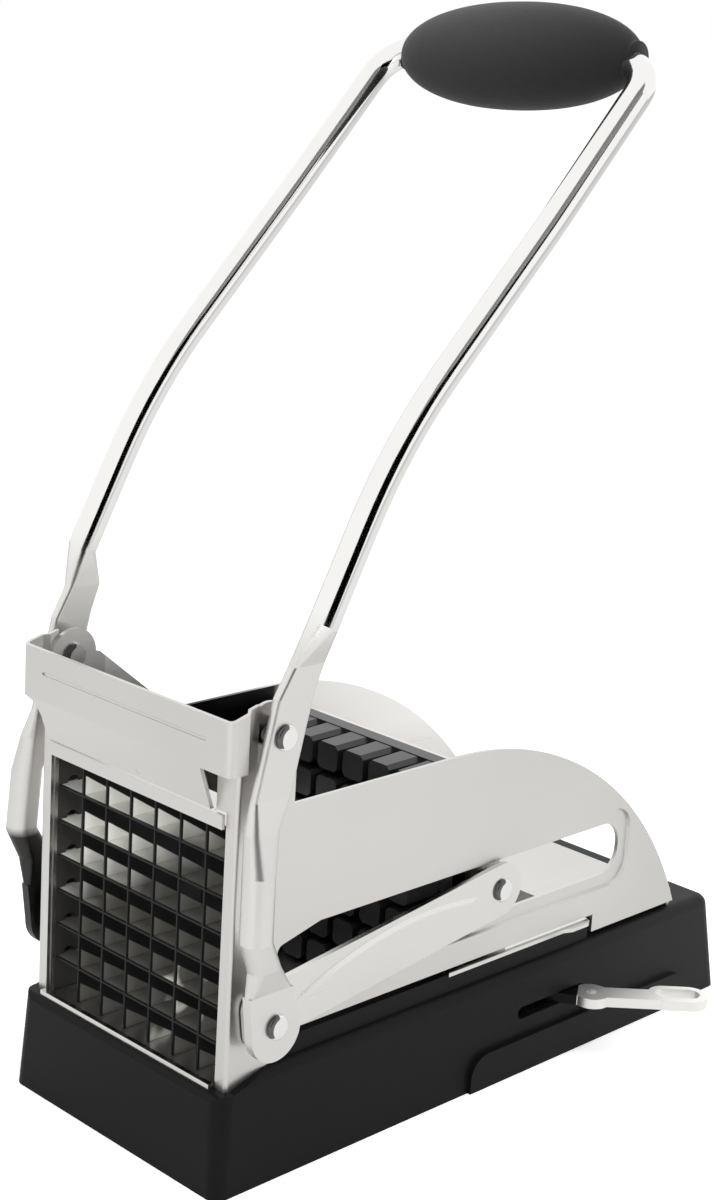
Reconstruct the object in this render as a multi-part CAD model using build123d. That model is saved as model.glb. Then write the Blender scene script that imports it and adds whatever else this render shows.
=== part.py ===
from build123d import *
import os
from math import acos, asin, cos, degrees, radians, sin, sqrt

# Lever potato chipper on a suction base, in millimetres.
# X to the right, Y to the rear, Z up, origin at the centre of the underside.

# base moulding
base_length = 228.6
base_shift = -1.9          # the middle of the base lies this far in front of the cup's
base_margin = 3.8         # foot of the base wider than the steel body, each side
base_height = 34
base_corner = 5           # at the top edge
foot_corner = 4
base_wall = 2.5
base_lean = 1.5           # each side wall leans in by this over the height
base_rear_lean = 6.3
base_round = 3.5
lip_round = 1.8           # rounded front edge of the sill
ramp_start = 1.5          # behind the window plane the sill rises to the full height
ramp_end = 15
sill_height = 30          # front strip in front of the blade window
deck_height = 29          # bottom of the channel between the two rails
rail_start = 18
rail_top = 39.8
post_radius = 5           # screw posts under the steel floor
post_bottom = 18
post_play = 0.5           # gap around the steel floor's step
front_post_half = 30      # the four posts, from the middle and behind the window plane
front_post_start = 23
rear_post_half = 22
rear_post_start = 178
guide_radius = 8          # guide of the suction stem
guide_bottom = 22
guide_bore_top = 27.6
web_start = -52           # cross web behind the front screw posts
web_sheet = 2
web_bottom = 4
boss_rise = 1.2           # arched boss at the foot of each side wall
boss_height = 11.6
boss_corner = 7
boss_front = -14.5
boss_rear = 92

# steel body
sheet = 1.2
body_half = 42            # outer face of a side plate
face_setback = 5.2        # blade window plane behind the foot of the base
plate_top = 109
hump_radius = 124
hump_start = 85.3         # all the "start" and "end" values run back from the window plane
ear_radius = 8
ear_neck = 20.5
neck_drop = 5.1           # below the lever pivot
shoulder_start = 19       # the left ear comes down over a shoulder
shoulder_drop = 0.2
shoulder_end = 47
strip_inner = 37.7
strip_height = 12.4       # front strips above the foot of the tongue
strip_drop = 9.6          # and below the lever pivot
bend_radius = 1.1
head_inner = 33.6         # the right strip widens behind the end of the tongue
notch_start = 17
notch_end = 155.5
notch_top = 42
plate_rear_bottom = 36
slot_bottom = 54.4
slot_top = 71.5
slot_start = 18
slot_end = 166.5
slot_corner = 8
slot_step = 4            # the front end of the slot is this much lower
slot_step_end = 34
front_slot_corner = 2.5
dish_depth = 1
dish_border = 4.5
pan_sheet = 0.8
pan_end = 157
rear_floor_top = 40
rear_floor_start = 158.5
rear_floor_end = 198

# front panel
panel_half = 44.7
panel_rise = 5.4          # above the lever pivot
panel_slope = 3           # the wings rise to the rear
panel_reach = 6           # the panel stands this far in front of the window plane
panel_corner = 2.5
tongue_left = -37.5
tongue_right = 33
tongue_flare = 6          # the left edge of the tongue flares out by this below the band
tongue_gap = 0.7          # above the cartridge's lip
tongue_lean = 1.6         # foot of the tongue in front of the window plane
crease_drop = 1.3         # below the lever pivot
wing_end = 5
crease_half = 35
crease_depth = 0.45
dimple_radius = 2.4
dimple_place = 4
dimple_depth = 1.3

# blade cartridge
cells = 7
cell_pitch = 10.7
window_bottom = 30
cartridge_sheet = 1
cartridge_depth = 13.5
blade_sheet = 0.6
blade_depth = 10
blade_start = 3
blade_edge = 1.8          # width of the ground edge
lip_height = 4
tab_hole = 4.5

# linkage
pivot_start = 9.6         # lever pivot behind the window plane
toe_height = 50           # link pivot above the table
toe_lag = 0.5             # and behind the lever pivot
link_length = 98.26
slider_height = 63        # carriage pin above the table
link_gap = 0.4            # link clear of the side plate
link_sheet = 1.6
link_half = 8.5
link_bulge = 1.3
link_nose = 5.6           # the link's blunt front end before its rivet
link_nose_corner = 5
leaf_start = 13           # pressed rib of the link
leaf_end = 11
leaf_tilt = 2
leaf_above = 6.8
leaf_below = 3.2
leaf_wall = 1.2
leaf_swell = 0.55         # place of the widest point along the link
arm_gap = 1.6             # between the links and the flat of the arms at the pivot
toe_set = 1.8             # the toe stands this much further out than the pivot
play = 0.1                # gap between stacked flat pieces
bore_play = 0.05          # radial running clearance
rivet_radius = 2.5
rivet_head_radius = 3.6
rivet_head = 1.1
washer_radius = 4.2

# lever
rod_diameter = 8.4
flat_sheet = 3
flat_width = 13.6
flat_below = 16.6         # the flat ends this far below and above the pivot
flat_above = 10.4
flat_front = 3            # its middle lies this far before the pivot below and behind it above
flat_rear = 3.5
crown_above = 18.4        # last flat section under the rod
crown_back = 7.3
crown_width = 12.1
crown_thickness = 3.4
waist_width = 9.4         # round stretch between the two flats
waist_thickness = 8
waist_front = 9.6         # before the lever pivot
waist_top = 35.6          # below the lever pivot
waist_bottom = 54
waist_set = 0.8           # its inner side stands this far outside the flat, and more lower down
neck_below = 24.6
neck_front = 6.7
neck_width = 10.8
neck_thickness = 5.6
ankle_above = 18.4        # above the toe's rivet
ankle_front = 5.2
ankle_width = 10.4
ankle_thickness = 6
toe_radius = 8.8
toe_drop = 1.5            # the round end lies this far below its rivet
toe_neck = 10.5           # height over which the toe narrows
toe_neck_width = 15.8
toe_neck_front = 2
rod_half = 50.3           # start of the rod, from the middle, above and behind the pivot
rod_above = 28.9
rod_back = 9.4
rod_bend_above = 75
rod_bend_back = 33.2
rod_bend_radius = 160
rod_rise_half = 51.2
rod_rise_above = 130.1
rod_rise_back = 86.7
rod_rise_radius = 600
arm_spread = 51.4         # rod centre from the middle, near the grip
grip_start = 136.5
grip_above = 173.4        # above the lever pivot
grip_half = 46
grip_radius = 15.8
corner_radius = 12        # where the rod turns into the grip
crossbar_inset = 8
grip_bluntness = 2        # the turned ellipse is cut off this far before its ends

# pusher
pin_side = 9
pin_length = 13
pin_chamfer = 1.4
pin_draft = 1.5           # degrees
pusher_start = 87
pusher_plate = 5
pusher_gap = 3
pusher_half = 37.3
pusher_brim = 0.2
pusher_post_radius = 4
pusher_screw_x = 26
pusher_screw_z = 20
pusher_screw_length = 6
carriage_sheet = 1.5
carriage_half = 34.2      # height of the back plate above the window's middle
carriage_flange = 4
eye_radius = 9
runner_sheet = 1.2
runner_reach = 43.2
runner_end = 153
runner_play = 0.2
runner_foot = 10          # wider end of the runner
runner_foot_step = 1.2
runner_foot_slope = 3

# suction foot
cup_radius = 38.5
cup_rim = 2
cup_shoulder = 6
cup_rise = 2.5
hub_radius = 9
hub_height = 8
stem_radius = 4
stem_seat = 3
stem_top = 24.4
suction_lift = 3
suction_turn = 18         # degrees
collar_radius = 10
collar_bottom = 11.3
collar_top = 21.6
stem_pin_radius = 1.5
pin_play = 0.25
slot_steps = 6
bar_width = 8             # suction lever between the collar and the wall
bar_angle = 35.4
strip_sheet = 3.2
strip_bottom = 17.6
strip_start = 62.4        # round eye outside the wall, from the middle of the cup
strip_angle = 46          # the strip turns to this angle at its eye
strip_eye = 5.8
strip_hole = 1.8
strip_width = 7.6
ring_width = 4            # ring of the lever round the collar
loop_start = 18           # finger loop, along the strip from the eye
loop_end = 37
loop_width = 11.4
loop_offset = 1.4         # its middle lies behind the strip's
loop_wall = 2.4
loop_hole_offset = 1.8
loop_hole_width = 6.4
lever_slot_start = 7.6
lever_slot_end = 39.4
lever_slot_play = 0.35    # above and below the lever

# fasteners
screw_radius = 1.7
screw_head_radius = 3.5
screw_head = 2

# worked out from the sizes above
base_width = 2 * (body_half + base_margin)
base_front = base_shift - base_length / 2
face_y = base_front + face_setback
window = cells * cell_pitch
window_middle = window_bottom + window / 2
tongue_bottom = window_bottom + window + lip_height + tongue_gap
strip_top = tongue_bottom + strip_height
pivot_height = strip_top + strip_drop
pivot_y = face_y + pivot_start
toe_y = pivot_y + toe_lag
toe_z = toe_height
slider_y = toe_y + sqrt(link_length ** 2 - (slider_height - toe_z) ** 2)
plate_inner = body_half - sheet
link_inner = body_half + link_gap
link_outer = link_inner + link_sheet
arm_inner = link_outer + arm_gap
arm_outer = arm_inner + flat_sheet
toe_inner = arm_inner + toe_set
toe_outer = toe_inner + flat_sheet
hump_end = hump_start + sqrt(hump_radius ** 2 - (hump_radius - plate_top + plate_rear_bottom) ** 2)
rail_inner = window / 2 + cartridge_sheet + play
rail_outer = body_half - 0.4
side_arm_outer = plate_inner - dish_depth - 0.4
side_arm_inner = side_arm_outer - carriage_sheet
runner_bottom = rail_top + runner_play
carriage_y = face_y + pusher_start + pusher_plate + pusher_gap
stem_pin_height = (collar_bottom + collar_top - suction_lift) / 2
panel_top = pivot_height + panel_rise
grip_y = face_y + grip_start
grip_height = pivot_height + grip_above


def slab(outline, x_from, x_to):
    "A flat outline drawn in Y and Z, as thick as the stretch between two X values."
    return extrude(Plane.YZ.offset(x_from) * outline, amount=x_to - x_from)


def rod_x(y, z, x_from, x_to, radius):
    "A round bar along X."
    return slab(Pos(y, z) * Circle(radius), x_from, x_to)


def block(x_from, x_to, y_from, y_to, z_from, z_to):
    "A plain box between two corners."
    size = Box(x_to - x_from, y_to - y_from, z_to - z_from)
    return Pos((x_from + x_to) / 2, (y_from + y_to) / 2, (z_from + z_to) / 2) * size


def both(piece):
    "The right-hand piece and its mirror image."
    return [piece, mirror(piece, about=Plane.YZ)]


def row(count, pitch):
    "Positions of a centred row."
    return [(i - (count - 1) / 2) * pitch for i in range(count)]


# ---------------------------------------------------------------- base

def base_block(inset, height):
    "The leaning block of the base, drawn in by an inset all round."
    share = height / base_height
    foot = RectangleRounded(base_width - 2 * inset, base_length - 2 * inset, foot_corner - inset / 2)
    lean = base_lean * share
    rear = base_rear_lean * share
    top_width = base_width - 2 * inset - 2 * lean
    top_length = base_length - 2 * inset - lean - rear
    top = RectangleRounded(top_width, top_length, base_corner - inset / 2)
    return Pos(0, base_shift) * loft([foot, Pos(0, (lean - rear) / 2, height) * top], ruled=True)


screw_places = [
    (front_post_half, face_y + front_post_start),
    (rear_post_half, face_y + rear_post_start),
]


def boss():
    "Arched boss that stands proud of a side wall."
    length = boss_rear - boss_front
    middle = (boss_front + boss_rear) / 2
    arch = Pos(middle, 0) * RectangleRounded(length, 2 * boss_height, boss_corner)
    arch &= Pos(middle, boss_height / 2) * Rectangle(length, boss_height)
    return slab(arch, base_width / 2 - base_wall, base_width / 2 + boss_rise)


def base_shell():
    "Black moulded base: open underneath, with rails, screw posts and the stem guide."
    body = base_block(0, base_height)
    body = fillet(body.edges().group_by(Axis.Z)[-1], base_round)
    toe = base_front + base_lean * sill_height / base_height
    ramp = Curve() + [
        Line((toe - 5, base_height + 5), (toe - 5, sill_height - lip_round)),
        Line((toe - 5, sill_height - lip_round), (toe, sill_height - lip_round)),
        RadiusArc((toe, sill_height - lip_round), (toe + lip_round, sill_height), lip_round),
        Line((toe + lip_round, sill_height), (face_y + ramp_start, sill_height)),
        Line((face_y + ramp_start, sill_height), (face_y + ramp_end, base_height)),
        Line((face_y + ramp_end, base_height), (face_y + ramp_end, base_height + 5)),
        Line((face_y + ramp_end, base_height + 5), (toe - 5, base_height + 5)),
    ]
    body -= slab(make_face(ramp), -base_width, base_width)
    body -= base_block(base_wall, deck_height - base_wall)
    channel_end = face_y + pan_end + post_play
    body -= block(-rail_inner, rail_inner, face_y - 0.2, channel_end, deck_height, base_height + 5)
    for side in (-1, 1):
        middle = side * (rail_inner + rail_outer) / 2
        half = (rail_outer - rail_inner) / 2
        rail_end = face_y + notch_end - 1.5
        body += block(middle - half, middle + half, face_y + rail_start, rail_end, deck_height - 1, rail_top)
        for x, y in screw_places:
            top = deck_height if y < 0 else rear_floor_top - sheet
            body += Pos(side * x, y, post_bottom) * extrude(Circle(post_radius), amount=top - post_bottom)
    body += Pos(0, 0, guide_bottom) * extrude(Circle(guide_radius), amount=deck_height - guide_bottom)
    body -= extrude(Circle(stem_radius + bore_play), amount=guide_bore_top)
    for side in (-1, 1):
        for x, y in screw_places:
            body -= Pos(side * x, y) * extrude(Circle(screw_radius + bore_play), amount=base_height + 10)
    web_half = base_width / 2 - base_wall
    body += block(-web_half, web_half, web_start, web_start + web_sheet, web_bottom, deck_height - 1)
    body = body + boss() + mirror(boss(), about=Plane.YZ)
    slot_height = strip_sheet + 2 * lever_slot_play
    slot_middle = strip_bottom + strip_sheet / 2
    opening = Pos((lever_slot_start + lever_slot_end) / 2, slot_middle) * RectangleRounded(
        lever_slot_end - lever_slot_start, slot_height, slot_height / 2 - 0.1
    )
    body -= slab(opening, base_width / 2 - 3 * base_wall, base_width / 2 + 5)
    return body


def floor_pan():
    "Steel floor of the potato channel, with the raised rear floor."
    half = rail_inner - 0.2
    start = face_y + blade_start + cartridge_depth
    low = block(-half, half, start, face_y + pan_end, deck_height, deck_height + pan_sheet)
    rear_start = face_y + rear_floor_start
    rear_end = face_y + rear_floor_end
    rise = block(-half, half, face_y + pan_end - sheet, face_y + pan_end, deck_height, rear_floor_top)
    rear = block(-half, half, face_y + pan_end - sheet, rear_end, rear_floor_top - sheet, rear_floor_top)
    wide = block(-plate_inner, plate_inner, rear_start, rear_end, rear_floor_top - sheet, rear_floor_top)
    lip = block(-plate_inner, plate_inner, rear_end - sheet, rear_end, base_height, rear_floor_top)
    pan = low + rise + rear + wide + lip
    for side in (-1, 1):
        for x, y in screw_places:
            pan -= Pos(side * x, y) * extrude(Circle(screw_radius + bore_play), amount=rear_floor_top + 1)
    return pan


def body_screws():
    "Screws from below that hold the steel floor on the base."
    screws = []
    for side in (-1, 1):
        for x, y in screw_places:
            top = deck_height + pan_sheet if y < 0 else rear_floor_top
            shank = Pos(0, 0, post_bottom) * extrude(Circle(screw_radius), amount=top - post_bottom)
            head = Pos(0, 0, post_bottom - screw_head) * extrude(Circle(screw_head_radius), amount=screw_head)
            screws.append(Pos(side * x, y) * (head + shank))
    return screws


# ---------------------------------------------------------------- steel body

def plate_outline(long_shoulder):
    "Side plate without its slot: ear, flat top, round hump and the notch for the runner."
    y = lambda back: face_y + back
    arc_end = (y(hump_end), plate_rear_bottom)
    arc_bulge = radians(38)
    arc_middle = (
        y(hump_start + hump_radius * sin(arc_bulge)),
        plate_top - hump_radius * (1 - cos(arc_bulge)),
    )
    ear_front = (y(pivot_start) - ear_radius, pivot_height)
    ear_top = (y(pivot_start), pivot_height + ear_radius)
    ear_rear = (y(pivot_start) + ear_radius, pivot_height)
    foot = (y(shoulder_end if long_shoulder else ear_neck), plate_top)
    if long_shoulder:
        neck = (y(shoulder_start), pivot_height - shoulder_drop)
    else:
        neck = (y(ear_neck), pivot_height - neck_drop)
    lines = Curve() + [
        Line((y(0), sill_height), (y(0), strip_top)),
        Line((y(0), strip_top), ear_front),
        ThreePointArc(ear_front, _on_ear(ear_top, ear_front), ear_top),
        ThreePointArc(ear_top, _on_ear(ear_top, ear_rear), ear_rear),
        Line(ear_rear, neck),
        Line(neck, foot),
        Line(foot, (y(hump_start), plate_top)),
        ThreePointArc((y(hump_start), plate_top), arc_middle, arc_end),
        Line(arc_end, (y(notch_end), plate_rear_bottom)),
        Line((y(notch_end), plate_rear_bottom), (y(notch_end), notch_top)),
        Line((y(notch_end), notch_top), (y(notch_start), notch_top)),
        Line((y(notch_start), notch_top), (y(notch_start), base_height)),
        Line((y(notch_start), base_height), (y(ramp_end), base_height)),
        Line((y(ramp_end), base_height), (y(ramp_start), sill_height)),
        Line((y(ramp_start), sill_height), (y(0), sill_height)),
    ]
    return make_face(lines)


def _on_ear(first, second):
    "Middle of the ear's arc between two of its points."
    middle_y = (first[0] + second[0]) / 2 - pivot_y
    middle_z = (first[1] + second[1]) / 2 - pivot_height
    reach = sqrt(middle_y ** 2 + middle_z ** 2)
    return (pivot_y + middle_y * ear_radius / reach, pivot_height + middle_z * ear_radius / reach)


def slot_outline(grow):
    "Slot for the carriage pin, grown all round by a border."
    y = lambda back: face_y + back
    corners = [
        (y(slot_start - grow), slot_bottom - grow),
        (y(slot_end + grow), slot_bottom - grow),
        (y(slot_end + grow), slot_top + grow),
        (y(slot_step_end), slot_top + grow),
        (y(slot_start - grow), slot_top - slot_step + grow),
    ]
    face = make_face(Polyline(*corners, close=True))
    rear = [v for v in face.vertices() if v.X > y(slot_end + grow) - 1]
    face = fillet(rear, slot_corner)
    return fillet([v for v in face.vertices() if v.X < y(slot_step_end + 1)], front_slot_corner)


def side_plate(long_shoulder):
    "Right-hand side plate with its front strip and the dished border round the slot."
    plate = slab(plate_outline(long_shoulder), plate_inner, body_half)
    plate += block(strip_inner, body_half, face_y, face_y + sheet, sill_height, strip_top)
    if not long_shoulder:
        plate += block(head_inner, body_half, face_y, face_y + sheet, tongue_bottom, strip_top)
    bend = plate.edges().filter_by(Axis.Z).filter_by(
        lambda e: abs(e.center().X - body_half) < 0.01 and abs(e.center().Y - face_y) < 0.01
    )
    plate = fillet(bend, bend_radius)
    dish = slot_outline(dish_border)
    plate += slab(slot_outline(dish_border + 0.6), plate_inner - dish_depth, plate_inner)
    plate -= extrude(Plane.YZ.offset(body_half) * dish, amount=-dish_depth, taper=30)
    plate -= slab(slot_outline(0), plate_inner - 2, body_half + 1)
    plate -= rod_x(pivot_y, pivot_height, 0, body_half + 1, rivet_radius + bore_play)
    return plate


def front_panel():
    "Bridge over the window: it wraps round the corners and lies on both ears."
    front = face_y - panel_reach
    wrap = front + panel_corner + 4
    jog = panel_half - body_half - sheet
    wing = face_y + wing_end
    inner = panel_corner - sheet
    half = Curve() + [
        Line((0, front), (panel_half - panel_corner, front)),
        RadiusArc((panel_half - panel_corner, front), (panel_half, front + panel_corner), -panel_corner),
        Line((panel_half, front + panel_corner), (panel_half, wrap)),
        Line((panel_half, wrap), (panel_half - jog, wrap + jog)),
        Line((panel_half - jog, wrap + jog), (panel_half - jog, wing)),
        Line((panel_half - jog, wing), (body_half, wing)),
        Line((body_half, wing), (body_half, wrap + jog)),
        Line((body_half, wrap + jog), (panel_half - sheet, wrap)),
        Line((panel_half - sheet, wrap), (panel_half - sheet, front + panel_corner)),
        RadiusArc(
            (panel_half - sheet, front + panel_corner), (panel_half - panel_corner, front + sheet), inner
        ),
        Line((panel_half - panel_corner, front + sheet), (0, front + sheet)),
        Line((0, front + sheet), (0, front)),
    ]
    half_top = Pos(0, 0, strip_top) * extrude(make_face(half), amount=panel_top + 4 - strip_top)
    top = half_top + mirror(half_top, about=Plane.YZ)
    above = Polyline(
        (front - 1, panel_top),
        (front + 1, panel_top),
        (wing + 1, panel_top + panel_slope),
        (wing + 1, panel_top + 9),
        (front - 1, panel_top + 9),
        close=True,
    )
    top -= slab(make_face(above), -60, 60)
    foot_front = face_y - tongue_lean
    side = Polyline(
        (front, strip_top),
        (foot_front, tongue_bottom),
        (foot_front + sheet, tongue_bottom),
        (front + sheet, strip_top),
        close=True,
    )
    flare_left = tongue_left - tongue_flare
    shape = make_face(Curve() + [
        Line((tongue_left, tongue_bottom - 1), (tongue_right, tongue_bottom - 1)),
        Line((tongue_right, tongue_bottom - 1), (tongue_right, strip_top)),
        Line((tongue_right, strip_top), (flare_left, strip_top)),
        RadiusArc((flare_left, strip_top), (tongue_left, strip_top - tongue_flare), tongue_flare),
        Line((tongue_left, strip_top - tongue_flare), (tongue_left, tongue_bottom - 1)),
    ])
    tongue = slab(make_face(side), flare_left, tongue_right)
    tongue &= extrude(Plane.XZ * shape, amount=-2 * face_y)
    panel = top + tongue
    crease = Pos(0, front, pivot_height - crease_drop) * Rot(0, 90, 0) * Cylinder(crease_depth, 2 * crease_half)
    panel -= crease
    dimple = Pos(dimple_place, foot_front + dimple_depth, tongue_bottom + 3) * Sphere(dimple_radius)
    panel += dimple & block(-10, 10, front - 2, foot_front + 1.6, tongue_bottom, tongue_bottom + 10)
    return panel


def pivot_rivets():
    "Rivets that carry the lever on the two ears."
    outer = arm_outer + play
    rivet = rod_x(pivot_y, pivot_height, plate_inner - rivet_head, outer + 0.1, rivet_radius)
    rivet += rod_x(pivot_y, pivot_height, plate_inner - rivet_head, plate_inner, rivet_head_radius)
    head = rod_x(pivot_y, pivot_height, outer, outer + rivet_head, rivet_head_radius)
    edge = head.edges().group_by(Axis.X)[-1]
    return both(rivet + fillet(edge, 0.6))


def pivot_spacers():
    "Spacers between the ears and the lever arms."
    ring = rod_x(pivot_y, pivot_height, body_half, arm_inner - play, washer_radius)
    ring -= rod_x(pivot_y, pivot_height, body_half - 1, arm_inner + 1, rivet_radius + bore_play)
    return both(ring)


# ---------------------------------------------------------------- blade cartridge

def blade_frame():
    "Open box of thin steel that holds the crossed blades."
    half = window / 2
    wall = cartridge_sheet
    y_from = face_y + sheet + 0.1
    y_to = y_from + cartridge_depth
    bottom = window_bottom
    top = window_bottom + window
    frame = block(-half - wall, half + wall, y_from, y_to, bottom - wall, top + wall)
    frame -= block(-half, half, y_from - 1, y_to + 1, bottom, top)
    lip_from = face_y - 1.2
    lip_half = strip_inner - 0.3
    frame += block(-lip_half, lip_half, lip_from, y_from, top, top + wall)
    frame += block(-lip_half, lip_half, lip_from, lip_from + wall, top, top + lip_height)
    frame += block(-lip_half, lip_half, face_y, y_from, bottom - wall, bottom)
    for z in row(cells - 1, cell_pitch):
        frame -= rod_x(tab_y(), window_middle + z, -half - 2, half + 2, tab_hole / 2)
    for x in row(cells - 1, cell_pitch):
        slit = blade_sheet / 2 + bore_play
        reach = tab_hole / 2
        frame -= block(x - slit, x + slit, tab_y() - reach, tab_y() + reach, bottom - 2, top + 2)
    return frame


def tab_y():
    "Where the blade tabs pass through the cartridge wall."
    return face_y + blade_start + blade_depth / 2


def blade(notch_from_front):
    "One blade along X, lying flat, with tabs, a ground rear edge and half-lap notches."
    half = window / 2 - bore_play
    start = face_y + blade_start
    end = start + blade_depth
    flat = blade_sheet / 2
    profile = Polyline(
        (start, -flat),
        (end - blade_edge, -flat),
        (end, 0),
        (end - blade_edge, flat),
        (start, flat),
        close=True,
    )
    strip = slab(make_face(profile), -half, half)
    tab = tab_hole / 2 - 0.2
    tab_end = window / 2 + cartridge_sheet
    strip += block(-tab_end, tab_end, tab_y() - tab, tab_y() + tab, -flat, flat)
    gap = flat + bore_play
    middle = start + blade_depth / 2
    for x in row(cells - 1, cell_pitch):
        if notch_from_front:
            strip -= block(x - gap, x + gap, start - 1, middle + bore_play, -1, 1)
        else:
            strip -= block(x - gap, x + gap, middle - bore_play, end + 1, -1, 1)
    return strip


def horizontal_blades():
    "Six flat blades, notched from behind."
    strip = blade(False)
    return [Pos(0, 0, window_middle + z) * strip for z in row(cells - 1, cell_pitch)]


def vertical_blades():
    "Six upright blades, notched from the front."
    strip = Rot(0, 90, 0) * blade(True)
    return [Pos(x, 0, window_middle) * strip for x in row(cells - 1, cell_pitch)]


# ---------------------------------------------------------------- lever

def arm_section(height, middle, width, thickness, outward=0):
    "Rounded cross-section of the forged arm, set outward from the flat at the pivot."
    radius = min(width, thickness) / 2 - 0.02
    section = RectangleRounded(thickness, width, radius)
    return Pos(arm_inner + outward + thickness / 2, pivot_y + middle, height) * section


def rod_path():
    "Middle of the rod, from the top of the forged part round into the grip."
    start = Vector(rod_half, pivot_y + rod_back, pivot_height + rod_above)
    return start, FilletPolyline(
        start,
        (rod_half, pivot_y + rod_bend_back, pivot_height + rod_bend_above),
        (rod_rise_half, pivot_y + rod_rise_back, pivot_height + rod_rise_above),
        (arm_spread, grip_y, grip_height),
        (grip_half - crossbar_inset, grip_y, grip_height),
        radius=[rod_bend_radius, rod_rise_radius, corner_radius],
    )


def arm():
    "Right-hand arm: a round rod, forged flat at the pivot and at the toe."
    start, path = rod_path()
    rod_plane = Plane(origin=start, z_dir=path % 0)
    rod_side = RectangleRounded(rod_diameter, rod_diameter, rod_diameter / 2 - 0.02)
    flat_low = arm_section(pivot_height - flat_below, -flat_front, flat_width, flat_sheet)
    flat_high = arm_section(pivot_height + flat_above, flat_rear, flat_width, flat_sheet)
    waist = (waist_width, waist_thickness)
    sections = [
        arm_section(toe_z + toe_neck, -toe_neck_front, toe_neck_width, flat_sheet, toe_set),
        arm_section(toe_z + ankle_above, -ankle_front, ankle_width, ankle_thickness, toe_set),
        arm_section(pivot_height - waist_bottom, -waist_front, *waist, toe_set),
        arm_section(pivot_height - waist_top, -waist_front + 0.8, *waist, waist_set),
        arm_section(pivot_height - neck_below, -neck_front, neck_width, neck_thickness, 0),
        flat_low,
    ]
    crown = [
        flat_high,
        arm_section(pivot_height + crown_above, crown_back, crown_width, crown_thickness),
        Plane(origin=start, x_dir=(1, 0, 0), z_dir=path % 0) * rod_side,
    ]
    shank = loft(sections, ruled=True) + loft([flat_low, flat_high], ruled=True) + loft(crown, ruled=True)
    rod = sweep(rod_plane * Circle(rod_diameter / 2), path=path)
    toe = Pos(toe_y, toe_z - toe_drop) * Circle(toe_radius)
    neck_half = toe_neck_width / 2 - 0.1
    neck_y = pivot_y - toe_neck_front
    web = Polyline(
        (toe_y - toe_radius, toe_z - toe_drop),
        (toe_y + toe_radius, toe_z - toe_drop),
        (neck_y + neck_half, toe_z + toe_neck + 0.1),
        (neck_y - neck_half, toe_z + toe_neck + 0.1),
        close=True,
    )
    foot = slab(toe + make_face(web), toe_inner, toe_outer)
    whole = shank + rod + foot
    whole -= rod_x(pivot_y, pivot_height, arm_inner - 1, arm_outer + 1, rivet_radius + bore_play)
    whole -= rod_x(toe_y, toe_z, toe_inner - 1, toe_outer + 1, rivet_radius + bore_play)
    return whole


def crossbar():
    "Straight stretch of the rod inside the grip."
    half = grip_half - crossbar_inset
    return rod_x(grip_y, grip_height, -half, half, rod_diameter / 2)


def grip(arms):
    "Foam grip, a blunt ellipsoid pushed over the rod."
    span = grip_half + grip_bluntness
    start = degrees(acos(grip_half / span))
    crown = EllipticalCenterArc((0, 0), span, grip_radius, start_angle=start, arc_size=180 - 2 * start)
    profile = make_face(Curve() + [
        crown,
        Line(crown @ 1, (-grip_half, 0)),
        Line((-grip_half, 0), (grip_half, 0)),
        Line((grip_half, 0), crown @ 0),
    ])
    foam = Pos(0, grip_y, grip_height) * revolve(profile, Axis.X)
    for piece in arms:
        foam -= piece
    return foam - rod_x(grip_y, grip_height, -grip_half, grip_half, rod_diameter / 2)


def link_rivets():
    "Shoulder rivets between the arms' toes and the links."
    rivet = rod_x(toe_y, toe_z, link_inner + bore_play, toe_outer + 0.1, rivet_radius)
    rivet += rod_x(toe_y, toe_z, link_outer + play, toe_inner, washer_radius)
    head = rod_x(toe_y, toe_z, toe_outer, toe_outer + rivet_head, rivet_head_radius)
    edge = head.edges().group_by(Axis.X)[-1]
    return both(rivet + fillet(edge, 0.6))


# ---------------------------------------------------------------- links

def along_link(distance, offset):
    "A point in Y and Z, so far along the link and so far above its centre line."
    lean = asin((slider_height - toe_z) / link_length)
    y = toe_y + distance * cos(lean) - offset * sin(lean)
    z = toe_z + distance * sin(lean) + offset * cos(lean)
    return (y, z)


def leaf(grow):
    "Leaf-shaped outline of the pressed rib."
    back = along_link(leaf_start - grow, 0)
    front = along_link(link_length - leaf_end + grow, leaf_tilt)
    upper = along_link(link_length * leaf_swell, leaf_above + grow)
    lower = along_link(link_length * leaf_swell, -leaf_below - grow)
    edges = [ThreePointArc(back, upper, front), ThreePointArc(front, lower, back)]
    return make_face(Curve() + edges)


def link():
    "Right-hand link: a pressed strip with a leaf-shaped rib."
    width = link_half
    strip = make_face(Polyline(
        along_link(-link_nose, -width),
        along_link(link_length, -width),
        along_link(link_length, width),
        along_link(-link_nose, width),
        close=True,
    ))
    strip = fillet([v for v in strip.vertices() if v.X < toe_y + width], link_nose_corner)
    outline = strip + Pos(slider_y, slider_height) * Circle(width)
    body = slab(outline, link_inner, link_outer)
    body += extrude(Plane.YZ.offset(link_outer) * leaf(0), amount=link_bulge, taper=35)
    body -= extrude(Plane.YZ.offset(link_inner) * leaf(-leaf_wall), amount=link_bulge, taper=35)
    body -= rod_x(toe_y, toe_z, link_inner - 1, link_outer + 1, rivet_radius + bore_play)
    body -= rod_x(slider_y, slider_height, link_inner - 1, link_outer + 1, rivet_radius + bore_play)
    return body


def slot_rivets():
    "Rivets in the rear ends of the links."
    rivet = rod_x(slider_y, slider_height, link_inner, link_outer + 0.1, rivet_radius)
    head = rod_x(slider_y, slider_height, link_outer, link_outer + rivet_head, rivet_head_radius)
    edge = head.edges().group_by(Axis.X)[-1]
    return both(rivet + fillet(edge, 0.6))


# ---------------------------------------------------------------- pusher

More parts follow.
